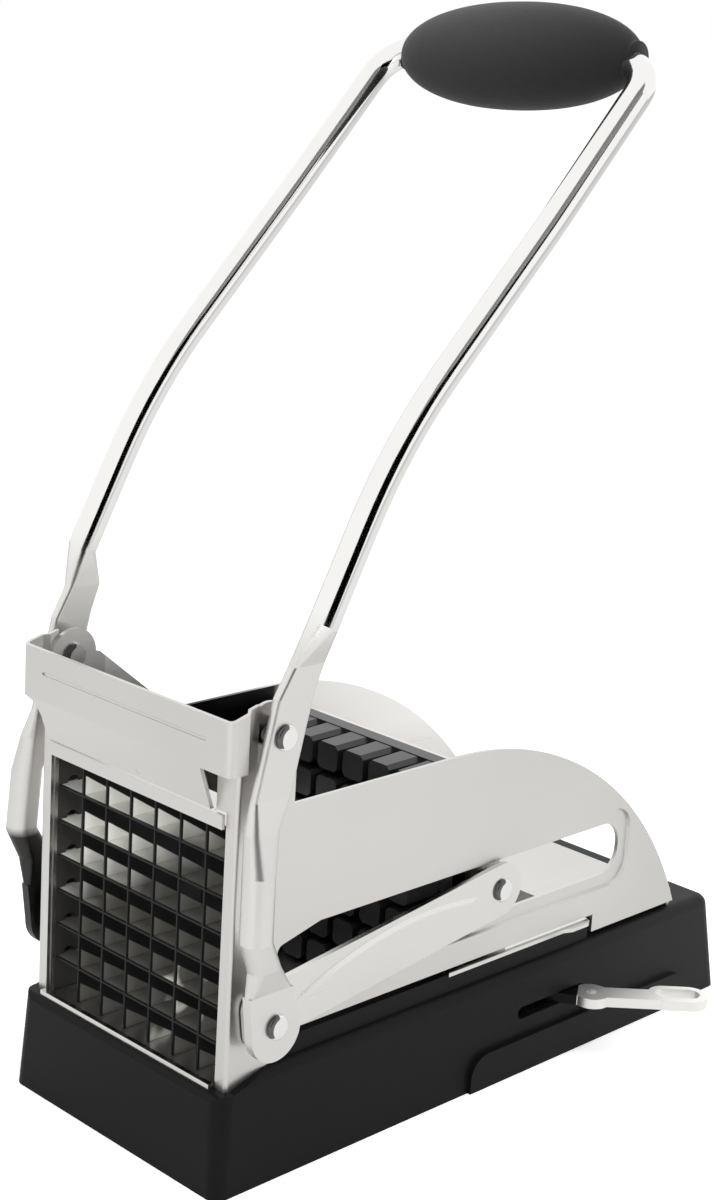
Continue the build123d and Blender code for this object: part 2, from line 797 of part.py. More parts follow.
def pusher_block():
    "Plastic pusher with a square pin for every cell of the blade grid."
    front = face_y + pusher_start
    back = front + pusher_plate
    top = window_middle + (cells - 1) / 2 * cell_pitch + pin_side / 2 + pusher_brim
    low = window_middle - (cells - 1) / 2 * cell_pitch - pin_side / 2
    plate = block(-pusher_half, pusher_half, front, back, low, top)
    base = Plane(origin=(0, front, 0), x_dir=(1, 0, 0), z_dir=(0, -1, 0))
    pin = Rectangle(pin_side, pin_side)
    pin = chamfer(pin.vertices(), pin_chamfer)
    for x in row(cells, cell_pitch):
        for z in row(cells, cell_pitch):
            plate += extrude(base * Pos(x, window_middle + z) * pin, amount=pin_length, taper=pin_draft)
    for x, z in screw_grid():
        post = Plane(origin=(x, back, z), z_dir=(0, 1, 0)) * Circle(pusher_post_radius)
        plate += extrude(post, amount=pusher_gap)
        hole = Plane(origin=(x, back - 2, z), z_dir=(0, 1, 0)) * Circle(screw_radius + bore_play)
        plate -= extrude(hole, amount=pusher_gap + 3)
    return plate


def screw_grid():
    "Places of the four screws that join the pusher and its carriage."
    places = []
    for x in (-pusher_screw_x, pusher_screw_x):
        for z in (-pusher_screw_z, pusher_screw_z):
            places.append((x, window_middle + z))
    return places


def pusher_carriage():
    "Steel yoke: back plate, two side arms and the runners that slide under the side plates."
    low = window_bottom + 1
    top = window_middle + carriage_half
    back = carriage_y + carriage_sheet
    yoke = block(-side_arm_inner + 0.6, side_arm_inner - 0.6, carriage_y, back, low, top)
    yoke += block(-pusher_half, pusher_half, carriage_y, carriage_y + carriage_flange, top - carriage_sheet, top)
    eye = Pos(slider_y, slider_height) * Circle(eye_radius)
    web = Polyline(
        (carriage_y, runner_bottom),
        (slider_y + eye_radius, runner_bottom),
        (slider_y + eye_radius, slider_height),
        (slider_y, slider_height + eye_radius),
        (carriage_y, slider_height + eye_radius),
        close=True,
    )
    side = slab(make_face(web) + eye, side_arm_inner, side_arm_outer)
    side += block(side_arm_inner - 1, side_arm_outer, carriage_y, back, runner_bottom, slider_height + eye_radius)
    runner_front = face_y + pusher_start
    end = face_y + runner_end
    plan = Polyline(
        (side_arm_inner, runner_front),
        (runner_reach, runner_front),
        (runner_reach, end - runner_foot - runner_foot_slope),
        (runner_reach + runner_foot_step, end - runner_foot),
        (runner_reach + runner_foot_step, end),
        (side_arm_inner, end),
        close=True,
    )
    plan = make_face(plan)
    plan = fillet([v for v in plan.vertices() if v.X > runner_reach and v.Y > end - 1], 3)
    side += Pos(0, 0, runner_bottom) * extrude(plan, amount=runner_sheet)
    side -= rod_x(slider_y, slider_height, side_arm_inner - 1, side_arm_outer + 1, rivet_radius + bore_play)
    yoke = yoke + side + mirror(side, about=Plane.YZ)
    for x, z in screw_grid():
        hole = Plane(origin=(x, carriage_y - 1, z), z_dir=(0, 1, 0)) * Circle(screw_radius + bore_play)
        yoke -= extrude(hole, amount=carriage_sheet + 2)
    return yoke


def carriage_pins():
    "Pins of the carriage, which run in the slots of the side plates."
    end = body_half - play
    pin = rod_x(slider_y, slider_height, side_arm_inner - rivet_head, end, rivet_radius)
    pin += rod_x(slider_y, slider_height, side_arm_inner - rivet_head, side_arm_inner, rivet_head_radius)
    pin += rod_x(slider_y, slider_height, side_arm_outer, end, washer_radius)
    return both(pin)


def pusher_screws():
    "Screws that hold the plastic pusher on its carriage."
    back = carriage_y + carriage_sheet
    screws = []
    for x, z in screw_grid():
        shank = Plane(origin=(x, back - pusher_screw_length, z), z_dir=(0, 1, 0)) * Circle(screw_radius)
        head = Plane(origin=(x, back, z), z_dir=(0, 1, 0)) * Circle(screw_head_radius)
        screws.append(extrude(shank, amount=pusher_screw_length) + extrude(head, amount=screw_head))
    return screws


# ---------------------------------------------------------------- suction foot

def suction_cup():
    "Rubber cup with its hub."
    profile = make_face(Polyline(
        (0, 0),
        (cup_radius, 0),
        (cup_radius, cup_rim),
        (hub_radius + cup_shoulder, cup_rim + cup_rise),
        (hub_radius, hub_height),
        (0, hub_height),
        close=True,
    ))
    cup = revolve(Plane.XZ * profile, Axis.Z)
    return cup - Pos(0, 0, stem_seat) * extrude(Circle(stem_radius), amount=hub_height)


def suction_stem():
    "Stem moulded into the hub, cross-drilled for its pin."
    stem = Pos(0, 0, stem_seat) * extrude(Circle(stem_radius), amount=stem_top - stem_seat)
    return stem - pin_bar(stem_pin_radius, 3 * stem_radius)


def pin_bar(radius, length):
    "Bar through the stem, square to the suction lever."
    across = Plane(origin=(0, 0, stem_pin_height), z_dir=_across())
    return extrude(across * Circle(radius), amount=length / 2, both=True)


def _across():
    "Direction of the stem pin."
    turn = radians(bar_angle + 90)
    return (cos(turn), sin(turn), 0)


def stem_pin():
    "Cross pin that the collar lifts."
    return pin_bar(stem_pin_radius, 2 * collar_radius - 2)


def cam_collar():
    "Turning collar with a slanting slot on each side, cut along the path of the stem pin."
    ring = Pos(0, 0, collar_bottom) * extrude(Circle(collar_radius), amount=collar_top - collar_bottom)
    ring -= Pos(0, 0, collar_bottom - 1) * extrude(Circle(stem_radius + 0.1), amount=collar_top)
    bar = pin_bar(stem_pin_radius + pin_play, 3 * collar_radius)
    for step in range(slot_steps + 1):
        share = step / slot_steps
        ring -= Pos(0, 0, suction_lift * share) * Rot(0, 0, suction_turn * share) * bar
    return ring


def suction_lever():
    "Flat steel lever: ring, bar, and outside the wall a strip with an open finger loop."
    loop_middle = (loop_start + loop_end) / 2
    hole_length = loop_end - loop_start - 2 * loop_wall
    strip = Circle(strip_eye)
    strip += Pos(loop_middle / 2, 0) * Rectangle(loop_middle, strip_width)
    strip += Pos(loop_middle, loop_offset) * SlotOverall(loop_end - loop_start, loop_width)
    strip -= Pos(loop_middle, loop_hole_offset) * SlotOverall(hole_length, loop_hole_width)
    plan = Circle(collar_radius + ring_width)
    plan += Pos(strip_start / 2, 0) * Rectangle(strip_start, bar_width)
    plan += Pos(strip_start, 0) * Rot(0, 0, strip_angle - bar_angle) * strip
    plan -= Circle(collar_radius + bore_play)
    plan -= Pos(strip_start, 0) * Circle(strip_hole)
    return Rot(0, 0, bar_angle) * Pos(0, 0, strip_bottom) * extrude(plan, amount=strip_sheet)


# ---------------------------------------------------------------- files

def save(name, pieces):
    "Write one node."
    solids = pieces if isinstance(pieces, list) else [pieces]
    export_step(Compound(children=[Part() + s for s in solids]), f"parts/{name}.step")


def main():
    os.makedirs("parts", exist_ok=True)
    arms = both(arm())
    links = both(link())
    save("base_shell", base_shell())
    save("floor_pan", floor_pan())
    save("body_screws", body_screws())
    save("right_side_plate", side_plate(False))
    save("left_side_plate", mirror(side_plate(True), about=Plane.YZ))
    save("front_panel", front_panel())
    save("pivot_rivets", pivot_rivets())
    save("pivot_spacers", pivot_spacers())
    save("blade_frame", blade_frame())
    save("horizontal_blades", horizontal_blades())
    save("vertical_blades", vertical_blades())
    save("right_arm", arms[0])
    save("left_arm", arms[1])
    save("crossbar", crossbar())
    save("grip", grip(arms))
    save("link_rivets", link_rivets())
    save("right_link", links[0])
    save("left_link", links[1])
    save("slot_rivets", slot_rivets())
    save("pusher_block", pusher_block())
    save("pusher_carriage", pusher_carriage())
    save("carriage_pins", carriage_pins())
    save("pusher_screws", pusher_screws())
    save("suction_cup", suction_cup())
    save("suction_stem", suction_stem())
    save("stem_pin", stem_pin())
    save("cam_collar", cam_collar())
    save("suction_lever", suction_lever())


main()
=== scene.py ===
import math

import bmesh
import bpy
from mathutils import Matrix, Vector


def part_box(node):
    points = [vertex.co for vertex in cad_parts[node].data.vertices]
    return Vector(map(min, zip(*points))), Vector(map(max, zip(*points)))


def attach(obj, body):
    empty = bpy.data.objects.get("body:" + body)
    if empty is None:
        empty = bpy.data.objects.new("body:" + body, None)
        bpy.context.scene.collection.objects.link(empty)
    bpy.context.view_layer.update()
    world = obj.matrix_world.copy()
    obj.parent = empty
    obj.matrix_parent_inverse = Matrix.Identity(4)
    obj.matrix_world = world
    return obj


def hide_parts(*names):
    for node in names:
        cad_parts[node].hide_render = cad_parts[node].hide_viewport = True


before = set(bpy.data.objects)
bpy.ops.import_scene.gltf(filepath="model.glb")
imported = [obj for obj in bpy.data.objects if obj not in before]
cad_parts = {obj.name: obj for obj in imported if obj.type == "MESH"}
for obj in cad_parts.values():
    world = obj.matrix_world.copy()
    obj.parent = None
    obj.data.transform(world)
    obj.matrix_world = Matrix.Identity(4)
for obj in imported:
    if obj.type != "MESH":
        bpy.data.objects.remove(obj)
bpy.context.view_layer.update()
print("frame loaded")


# shader maths: a wrapped socket whose operators add Math nodes

class Value:
    def __init__(self, recipe, socket):
        self.recipe = recipe
        self.socket = socket

    def math(self, operation, first, second=0.0, clamp=False):
        settings = {"operation": operation, "use_clamp": clamp}
        return self.recipe.node("ShaderNodeMath", settings, {0: first, 1: second})

    def __add__(self, other):
        return self.math("ADD", self, other)

    def __radd__(self, other):
        return self.math("ADD", other, self)

    def __sub__(self, other):
        return self.math("SUBTRACT", self, other)

    def __rsub__(self, other):
        return self.math("SUBTRACT", other, self)

    def __mul__(self, other):
        return self.math("MULTIPLY", self, other)

    def __rmul__(self, other):
        return self.math("MULTIPLY", other, self)

    def __truediv__(self, other):
        return self.math("DIVIDE", self, other)

    def __gt__(self, other):
        return self.math("GREATER_THAN", self, other)

    def __lt__(self, other):
        return self.math("LESS_THAN", self, other)

    def clamped(self):
        return self.math("ADD", self, 0.0, clamp=True)

    def fraction(self):
        return self.math("FRACT", self)

    def swing(self, width):  # a pattern between 0 and 1, made to swing about zero
        return (self - 0.5) * width


class Recipe:
    def __init__(self, holder):
        holder.use_nodes = True
        self.holder = holder
        self.tree = holder.node_tree
        self.tree.nodes.clear()

    def node(self, kind, settings, inputs, output=0):
        added = self.tree.nodes.new(kind)
        for key, value in settings.items():
            setattr(added, key, value)
        for key, value in inputs.items():
            if isinstance(value, Value):
                self.tree.links.new(value.socket, added.inputs[key])
            else:
                added.inputs[key].default_value = value
        return Value(self, added.outputs[output])

    def place(self):
        return self.node("ShaderNodeTexCoord", {}, {}, "Object")

    def axis(self, name):
        return self.node("ShaderNodeSeparateXYZ", {}, {0: self.place()}, name)

    def noise(self, scale, stretch=(1, 1, 1), detail=2.0):
        place = self.node("ShaderNodeMapping", {}, {"Vector": self.place(), "Scale": stretch})
        return self.node("ShaderNodeTexNoise", {}, {"Vector": place, "Scale": scale, "Detail": detail})

    def blend(self, share, first, second):
        inputs = {0: share, 6: first, 7: second}
        return self.node("ShaderNodeMix", {"data_type": "RGBA"}, inputs, 2)

    def bump(self, height, distance):
        return self.node("ShaderNodeBump", {}, {"Height": height, "Distance": distance})

    def end(self, shader, kind="ShaderNodeOutputMaterial"):
        target = self.tree.nodes.new(kind)
        self.tree.links.new(shader.socket, target.inputs["Surface"])

    def finish(self, inputs):
        self.end(self.node("ShaderNodeBsdfPrincipled", {}, inputs))
        return self.holder


def newRecipe(name):
    return Recipe(bpy.data.materials.new(name))


def rgb(r, g, b):
    return (r, g, b, 1.0)


def grey(level):
    return rgb(level, level, level)


# metals

sheetLook = {
    "colour": rgb(0.66, 0.645, 0.625), "dull": rgb(0.61, 0.595, 0.575), "roughness": 0.34,
    "cloudScale": 9.0, "dullFrom": 0.42, "dullSharp": 3.0, "cloudRough": 0.08,
    "grainScale": 300.0, "grainStretch": (1.0, 0.06, 1.0), "grainRough": 0.1, "grainDepth": 0.00002,
    "leftSide": -0.03, "leftFace": -0.0414, "windowSide": -0.09,
    # the pale colour is painted light on the left plate's upper part, and the dark colour is painted shade
    # inside under its edge
    "pale": rgb(0.9, 0.88, 0.86), "paleFrom": 0.045, "paleOver": 0.04,
    "dark": rgb(0.02, 0.02, 0.022), "darkTop": 0.1085, "darkFoot": 0.09,
    "darkRear": -0.014, "darkOver": 0.008,
}


def satinSheet():
    paint = newRecipe("satinSheet")
    x, y, z = (paint.axis(name) for name in "XYZ")
    cloud = paint.noise(sheetLook["cloudScale"])
    grain = paint.noise(sheetLook["grainScale"], sheetLook["grainStretch"])
    wear = ((cloud - sheetLook["dullFrom"]) * sheetLook["dullSharp"]).clamped()
    steel = paint.blend(wear, sheetLook["colour"], sheetLook["dull"])
    # painted light and shade: the left plate is painted paler towards its top, and painted dark as shade
    # inside under its edge
    leftPlate = (x < sheetLook["leftSide"]) * (y > sheetLook["windowSide"])
    upward = ((z - sheetLook["paleFrom"]) / sheetLook["paleOver"]).clamped()
    steel = paint.blend(leftPlate * upward, steel, sheetLook["pale"])
    # painted shade on the left plate's inner face, under its upper edge, towards the front
    shadedInside = leftPlate * (x > sheetLook["leftFace"])
    forward = ((sheetLook["darkRear"] - y) / sheetLook["darkOver"]).clamped()
    underEdge = (z < sheetLook["darkTop"]) * (z > sheetLook["darkFoot"])
    return paint.finish({
        "Base Color": paint.blend(shadedInside * underEdge * forward, steel, sheetLook["dark"]),
        "Metallic": 1.0,
        "Roughness": grain.swing(sheetLook["grainRough"]) + cloud.swing(sheetLook["cloudRough"])
        + sheetLook["roughness"],
        "Normal": paint.bump(grain, sheetLook["grainDepth"]),
    })


frameLook = {"wall": rgb(0.035, 0.034, 0.032), "wallMetal": 0.1, "wallInner": -0.0372, "wallFront": -0.1085}


def frameSheet():
    paint = newRecipe("frameSheet")
    grain = paint.noise(sheetLook["grainScale"], sheetLook["grainStretch"])
    # painted shade: the frame's left inner wall is painted near black and less metallic
    wall = (paint.axis("X") < frameLook["wallInner"]) * (paint.axis("Y") > frameLook["wallFront"])
    return paint.finish({
        "Base Color": paint.blend(wall, sheetLook["colour"], frameLook["wall"]),
        "Metallic": 1.0 - wall * (1.0 - frameLook["wallMetal"]),
        "Roughness": grain.swing(sheetLook["grainRough"]) + sheetLook["roughness"],
        "Normal": paint.bump(grain, sheetLook["grainDepth"]),
    })


pressedLook = {
    "colour": rgb(0.72, 0.71, 0.69), "dull": rgb(0.66, 0.65, 0.63), "roughness": 0.2, "cloudScale": 25.0,
    "scratchScale": 500.0, "scratchStretch": (1.0, 0.05, 0.6), "scratchRough": 0.08, "scratchDepth": 0.00001,
}


def pressedSteel():
    paint = newRecipe("pressedSteel")
    cloud = paint.noise(pressedLook["cloudScale"])
    scratches = paint.noise(pressedLook["scratchScale"], pressedLook["scratchStretch"])
    return paint.finish({
        "Base Color": paint.blend(cloud, pressedLook["colour"], pressedLook["dull"]),
        "Metallic": 1.0,
        "Roughness": scratches.swing(pressedLook["scratchRough"]) + pressedLook["roughness"],
        "Normal": paint.bump(scratches, pressedLook["scratchDepth"]),
    })


leverLook = {
    "colour": rgb(0.95, 0.94, 0.92), "dull": rgb(0.88, 0.87, 0.84), "roughness": 0.42, "cloudScale": 60.0,
    "scratchScale": 900.0, "scratchStretch": (1.0, 0.3, 1.0), "scratchRough": 0.1, "scratchDepth": 0.00001,
    "neck": grey(0.015), "turn": 35.4, "neckEnd": 0.058,
}


def brightLever():
    paint = newRecipe("brightLever")
    cloud = paint.noise(leverLook["cloudScale"])
    scratches = paint.noise(leverLook["scratchScale"], leverLook["scratchStretch"])
    turn = math.radians(leverLook["turn"])
    # the lever is painted near black along its neck, up to neckEnd along its turned axis
    along = paint.axis("X") * math.cos(turn) + paint.axis("Y") * math.sin(turn)
    steel = paint.blend(cloud, leverLook["colour"], leverLook["dull"])
    return paint.finish({
        "Base Color": paint.blend(along < leverLook["neckEnd"], steel, leverLook["neck"]),
        "Metallic": 1.0,
        "Roughness": scratches.swing(leverLook["scratchRough"]) + leverLook["roughness"],
        "Normal": paint.bump(scratches, leverLook["scratchDepth"]),
    })


rodLook = {
    "colour": rgb(0.82, 0.815, 0.8), "dull": rgb(0.76, 0.75, 0.73), "roughness": 0.095, "cloudScale": 40.0,
    "drawScale": 700.0, "drawStretch": (1.0, 0.2, 0.05), "drawRough": 0.05, "drawDepth": 0.000008,
    "forged": rgb(0.69, 0.675, 0.655), "forgedTop": 0.166, "forgedOver": 0.012, "forgedRough": 0.27,
    # the toe colour is a painted dark reflection for the left arm's toe
    "toe": rgb(0.05, 0.049, 0.048), "toeSide": -0.03, "toeTop": 0.079, "toeOver": 0.003,
}


def polishedRod():
    paint = newRecipe("polishedRod")
    x, z = paint.axis("X"), paint.axis("Z")
    cloud = paint.noise(rodLook["cloudScale"])
    draw = paint.noise(rodLook["drawScale"], rodLook["drawStretch"])
    forged = ((rodLook["forgedTop"] - z) / rodLook["forgedOver"]).clamped()
    # painted dark reflection: the left arm is painted near black below toeTop, on every face of its toe
    leftToeShade = ((rodLook["toeTop"] - z) / rodLook["toeOver"]).clamped() * (x < rodLook["toeSide"])
    steel = paint.blend(cloud, rodLook["colour"], rodLook["dull"])
    steel = paint.blend(forged, steel, rodLook["forged"])
    return paint.finish({
        "Base Color": paint.blend(leftToeShade, steel, rodLook["toe"]),
        "Metallic": 1.0,
        "Roughness": draw.swing(rodLook["drawRough"]) + forged * rodLook["forgedRough"]
        + rodLook["roughness"],
        "Normal": paint.bump(draw, rodLook["drawDepth"]),
    })


bladeLook = {
    # bright and grey are painted light and shade across the window, and edge is painted shade
    "bright": rgb(0.95, 0.94, 0.88), "grey": rgb(0.14, 0.137, 0.122), "edge": grey(0.012),
    "metal": 0.05, "specular": 0.15, "roughness": 0.3, "front": -0.1072, "cloudScale": 60.0,
    "strokeScale": 800.0, "strokeStretch": (0.08, 1.0, 0.08), "strokeRough": 0.08, "strokeDepth": 0.00001,
    "brightRise": 0.615, "brightFrom": 0.0851, "brightOver": 0.018,
    "patchHeight": 0.058, "patchFrom": 0.56, "patchSharp": 12.0,
    "lowest": 0.0301, "pitch": 0.0107, "mouth": -0.108,
    "bandFoot": 0.0063, "bandFall": 0.66, "bandSharp": 3000.0,
}


def windowLight(paint, x, z):  # painted light and shade: painted brighter towards the window's upper left, with painted lit patches low on the right
    cloud = paint.noise(bladeLook["cloudScale"])
    rising = z - x * bladeLook["brightRise"]
    litUpperLeft = ((rising - bladeLook["brightFrom"]) / bladeLook["brightOver"] + cloud).clamped()
    patches = ((cloud - bladeLook["patchFrom"]) * bladeLook["patchSharp"]).clamped()
    litLowRight = patches * (z < bladeLook["patchHeight"]) * (x > 0.0)
    return paint.blend((litUpperLeft + litLowRight).clamped(), bladeLook["grey"], bladeLook["bright"])


def paintedShadeBand(y, z):  # painted shade: a dark band on an upright blade, under each level one
    above = ((z - bladeLook["lowest"]) / bladeLook["pitch"]).fraction() * bladeLook["pitch"]
    fall = (y - bladeLook["mouth"]) * bladeLook["bandFall"]
    return ((above + fall - bladeLook["bandFoot"]) * bladeLook["bandSharp"]).clamped()


def groundBlade(name, banded):
    paint = newRecipe(name)
    x, y, z = (paint.axis(name) for name in "XYZ")
    strokes = paint.noise(bladeLook["strokeScale"], bladeLook["strokeStretch"])
    # painted light and shade across the window
    steel = windowLight(paint, x, z)
    # painted shade bands on the upright blades
    if banded:
        steel = paint.blend(paintedShadeBand(y, z), steel, bladeLook["edge"])
    return paint.finish({
        # painted shade: the blades' front edges are painted near black
        "Base Color": paint.blend(y < bladeLook["front"], steel, bladeLook["edge"]),
        "Metallic": bladeLook["metal"],
        "Specular IOR Level": bladeLook["specular"],
        "Roughness": strokes.swing(bladeLook["strokeRough"]) + bladeLook["roughness"],
        "Normal": paint.bump(strokes, bladeLook["strokeDepth"]),
    })


def bandedBlade():
    return groundBlade("bandedBlade", True)


def plainBlade():
    return groundBlade("plainBlade", False)


rivetLook = {
    "colour": rgb(0.78, 0.77, 0.76), "roughness": 0.22,
    "markScale": 900.0, "markRough": 0.12, "markDepth": 0.00001,
    # the rim colour and its radii make a painted shade crescent on each head
    "shadeRim": grey(0.12), "rimFrom": 0.0031, "rimTo": 0.006, "back": 0.001, "down": 0.0004, "below": 0.0024,
    "places": [(-0.1014, 0.1316), (-0.1009, 0.05), (-0.0035, 0.063)],
}


def rivetSteel():
    paint = newRecipe("rivetSteel")
    y, z = paint.axis("Y"), paint.axis("Z")
    marks = paint.noise(rivetLook["markScale"])
    dark = 0.0
    # painted shade: a dark crescent on the front of each head at a named place
    for headY, headZ in rivetLook["places"]:
        backward = y - (headY + rivetLook["back"])
        upward = z - (headZ - rivetLook["down"])
        away = backward * backward + upward * upward
        shadeRim = (away > rivetLook["rimFrom"] ** 2) * (away < rivetLook["rimTo"] ** 2)
        dark = dark + shadeRim * (y < headY) * (z > headZ - rivetLook["below"])
    return paint.finish({
        "Base Color": paint.blend(dark.clamped(), rivetLook["colour"], rivetLook["shadeRim"]),
        "Metallic": 1.0,
        "Roughness": marks.swing(rivetLook["markRough"]) + rivetLook["roughness"],
        "Normal": paint.bump(marks, rivetLook["markDepth"]),
    })


# plastics, foam and rubber

baseLook = {
    "colour": rgb(0.0045, 0.0046, 0.0047), "roughness": 0.44, "specular": 0.12,
    "pale": rgb(0.016, 0.016, 0.0158), "paleFrom": 0.02, "paleOver": 0.1, "paleCloud": 0.3,
    "cloudScale": 14.0, "cloudRough": 0.08, "poreScale": 1500.0, "poreRough": 0.06, "poreDepth": 0.00002,
}


def mouldedBase():
    paint = newRecipe("mouldedBase")
    cloud = paint.noise(baseLook["cloudScale"])
    pores = paint.noise(baseLook["poreScale"])
    rearward = (paint.axis("Y") - baseLook["paleFrom"]) / baseLook["paleOver"]
    pale = (rearward + cloud * baseLook["paleCloud"]).clamped()
    return paint.finish({
        "Base Color": paint.blend(pale, baseLook["colour"], baseLook["pale"]),
        "Roughness": cloud.swing(baseLook["cloudRough"]) + pores.swing(baseLook["poreRough"])
        + baseLook["roughness"],
        "Specular IOR Level": baseLook["specular"],
        "Normal": paint.bump(pores, baseLook["poreDepth"]),
    })


pusherLook = {
    "colour": rgb(0.014, 0.014, 0.0145), "pale": rgb(0.022, 0.022, 0.0225), "roughness": 0.3,
    "cloudScale": 60.0, "cloudRough": 0.12, "cloudDepth": 0.00003,
}


def mouldedPusher():
    paint = newRecipe("mouldedPusher")
    cloud = paint.noise(pusherLook["cloudScale"])
    return paint.finish({
        "Base Color": paint.blend(cloud, pusherLook["colour"], pusherLook["pale"]),
        "Roughness": cloud.swing(pusherLook["cloudRough"]) + pusherLook["roughness"],
        "Normal": paint.bump(cloud, pusherLook["cloudDepth"]),
    })


foamLook = {
    # the low colour is painted shade, darker towards the grip's bottom and its right end
    "colour": grey(0.058), "low": rgb(0.004, 0.004, 0.0055), "roughness": 0.85,
    "specular": 0.3, "sheen": 0.1, "sheenRough": 0.5,
    "lowEnd": 0.289, "lowOver": 0.03, "lightEnd": 0.066, "lightOver": 0.08,
    "cellScale": 1400.0, "cellShare": 0.4,
    "pore": rgb(0.014, 0.014, 0.015), "poreSize": 0.35, "poreSharp": 2.0,
    "lumpScale": 120.0, "lumpDetail": 3.0, "lumpRough": 0.1, "depth": 0.00012,
}


def closedFoam():
    paint = newRecipe("closedFoam")
    cells = paint.node("ShaderNodeTexVoronoi", {}, {"Vector": paint.place(), "Scale": foamLook["cellScale"]})
    lumps = paint.noise(foamLook["lumpScale"], detail=foamLook["lumpDetail"])
    pores = ((foamLook["poreSize"] - cells) * foamLook["poreSharp"]).clamped()
    # painted shade: the grip is painted darker towards its bottom and its right end
    upward = ((paint.axis("Z") - foamLook["lowEnd"]) / foamLook["lowOver"]).clamped()
    leftward = ((foamLook["lightEnd"] - paint.axis("X")) / foamLook["lightOver"]).clamped()
    shadedSkin = paint.blend(upward * leftward, foamLook["low"], foamLook["colour"])
    height = lumps * (1.0 - foamLook["cellShare"]) + cells * foamLook["cellShare"]
    return paint.finish({
        "Base Color": paint.blend(pores * upward, shadedSkin, foamLook["pore"]),
        "Roughness": lumps.swing(foamLook["lumpRough"]) + foamLook["roughness"],
        "Specular IOR Level": foamLook["specular"],
        "Sheen Weight": foamLook["sheen"],
        "Sheen Roughness": foamLook["sheenRough"],
        "Normal": paint.bump(height, foamLook["depth"]),
    })


rubberLook = {
    "colour": grey(0.03), "bloom": grey(0.045), "roughness": 0.505,
    "bloomScale": 50.0, "bloomDetail": 3.0, "bloomRough": 0.15, "bloomDepth": 0.00005,
}


def smoothRubber():
    paint = newRecipe("smoothRubber")
    bloom = paint.noise(rubberLook["bloomScale"], detail=rubberLook["bloomDetail"])
    return paint.finish({
        "Base Color": paint.blend(bloom, rubberLook["colour"], rubberLook["bloom"]),
        "Roughness": bloom.swing(rubberLook["bloomRough"]) + rubberLook["roughness"],
        "Normal": paint.bump(bloom, rubberLook["bloomDepth"]),
    })


finishes = {
    satinSheet: ["floor_pan", "right_side_plate", "left_side_plate", "front_panel"],
    frameSheet: ["blade_frame"],
    pressedSteel: ["right_link", "left_link", "pusher_carriage"],
    brightLever: ["suction_lever"],
    polishedRod: ["right_arm", "left_arm", "crossbar", "suction_stem", "stem_pin"],
    bandedBlade: ["vertical_blades"],
    plainBlade: ["horizontal_blades"],
    rivetSteel: [
        "pivot_rivets", "pivot_spacers", "link_rivets", "slot_rivets", "carriage_pins",
        "body_screws", "pusher_screws",
    ],
    mouldedBase: ["base_shell"],
    mouldedPusher: ["pusher_block", "cam_collar"],
    closedFoam: ["grip"],
    smoothRubber: ["suction_cup"],
}
materials = {}
for recipe, nodes in finishes.items():
    material = recipe()
    materials[material.name] = material
    for node in nodes:
        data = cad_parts[node].data
        data.materials.clear()
        data.materials.append(material)
print("finishes on the CAD nodes")


def newObject(name, data):
    made = bpy.data.objects.new(name, data)
    bpy.context.collection.objects.link(made)
    return made


def closedForm(name, form):
    bmesh.ops.recalc_face_normals(form, faces=form.faces)
    mesh = bpy.data.meshes.new(name)
    form.to_mesh(mesh)
    form.free()
    return newObject(name, mesh)


# foam grip: a turned body with softly rounded ends, leaning on its bar

gripSize = {
    "half": 0.0448, "radius": 0.0156, "boreRadius": 0.0046, "blunt": 2.15, "tilt": 2.4,
    "rings": 49, "around": 64,
}


def gripRing(form, share, middle):  # share runs from -1 at the left end to 1 at the right
    swell = (1 - abs(share) ** gripSize["blunt"]) ** (1 / gripSize["blunt"])
    radius = max(gripSize["radius"] * swell, gripSize["boreRadius"])
    tilt = Matrix.Rotation(math.radians(-gripSize["tilt"]), 3, "Y")
    ring = []
    for j in range(gripSize["around"]):
        angle = 2 * math.pi * j / gripSize["around"]
        place = Vector((gripSize["half"] * share, radius * math.cos(angle), radius * math.sin(angle)))
        ring.append(form.verts.new(middle + tilt @ place))
    return ring


def foamGrip():
    low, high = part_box("grip")
    form = bmesh.new()
    rings = []
    for i in range(gripSize["rings"]):
        turn = math.pi * (i / (gripSize["rings"] - 1) - 0.5)
        rings.append(gripRing(form, math.sin(turn), (low + high) / 2))
    for first, second in zip(rings, rings[1:]):
        for j in range(gripSize["around"]):
            k = (j + 1) % gripSize["around"]
            form.faces.new((first[j], first[k], second[k], second[j]))
    form.faces.new(rings[0])
    form.faces.new(rings[-1])
    piece = closedForm("foamGrip", form)
    piece.data.shade_smooth()
    piece.data.materials.append(materials["closedFoam"])
    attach(piece, "lever")
    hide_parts("grip")


foamGrip()
print("foam grip")


# bright front edge of the steel floor, under the window

panEdge = {"half": 0.0376, "front": -0.1132, "rear": -0.1116, "low": 0.0301, "high": 0.0316}


def sillStrip():
    form = bmesh.new()
    corners = []
    for x in (-panEdge["half"], panEdge["half"]):
        for y, z in (("front", "low"), ("rear", "low"), ("rear", "high"), ("front", "high")):
            corners.append(form.verts.new((x, panEdge[y], panEdge[z])))
    form.faces.new(corners[:4])
    form.faces.new(corners[4:])
    for i in range(4):
        k = (i + 1) % 4
        form.faces.new((corners[i], corners[k], corners[k + 4], corners[i + 4]))
    strip = closedForm("sillStrip", form)
    strip.data.materials.append(materials["pressedSteel"])
    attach(strip, "body")


sillStrip()
print("sill strip")


# studio: pale floor, soft lamps, cards for the rods to mirror, and the camera

studio = {
    "reach": 8.0, "floor": 0.7, "floorSeen": 1.6, "floorMirrored": 0.98,
    "world": 0.66, "worldSeen": 1.0, "worldMirrored": 1.15,
}


def board(name, corners, paint, colour):
    mesh = bpy.data.meshes.new(name)
    mesh.from_pydata(corners, [], [(0, 1, 2, 3)])
    paint.end(paint.node("ShaderNodeBsdfDiffuse", {}, {"Color": colour}))
    mesh.materials.append(paint.holder)
    return newObject(name, mesh)


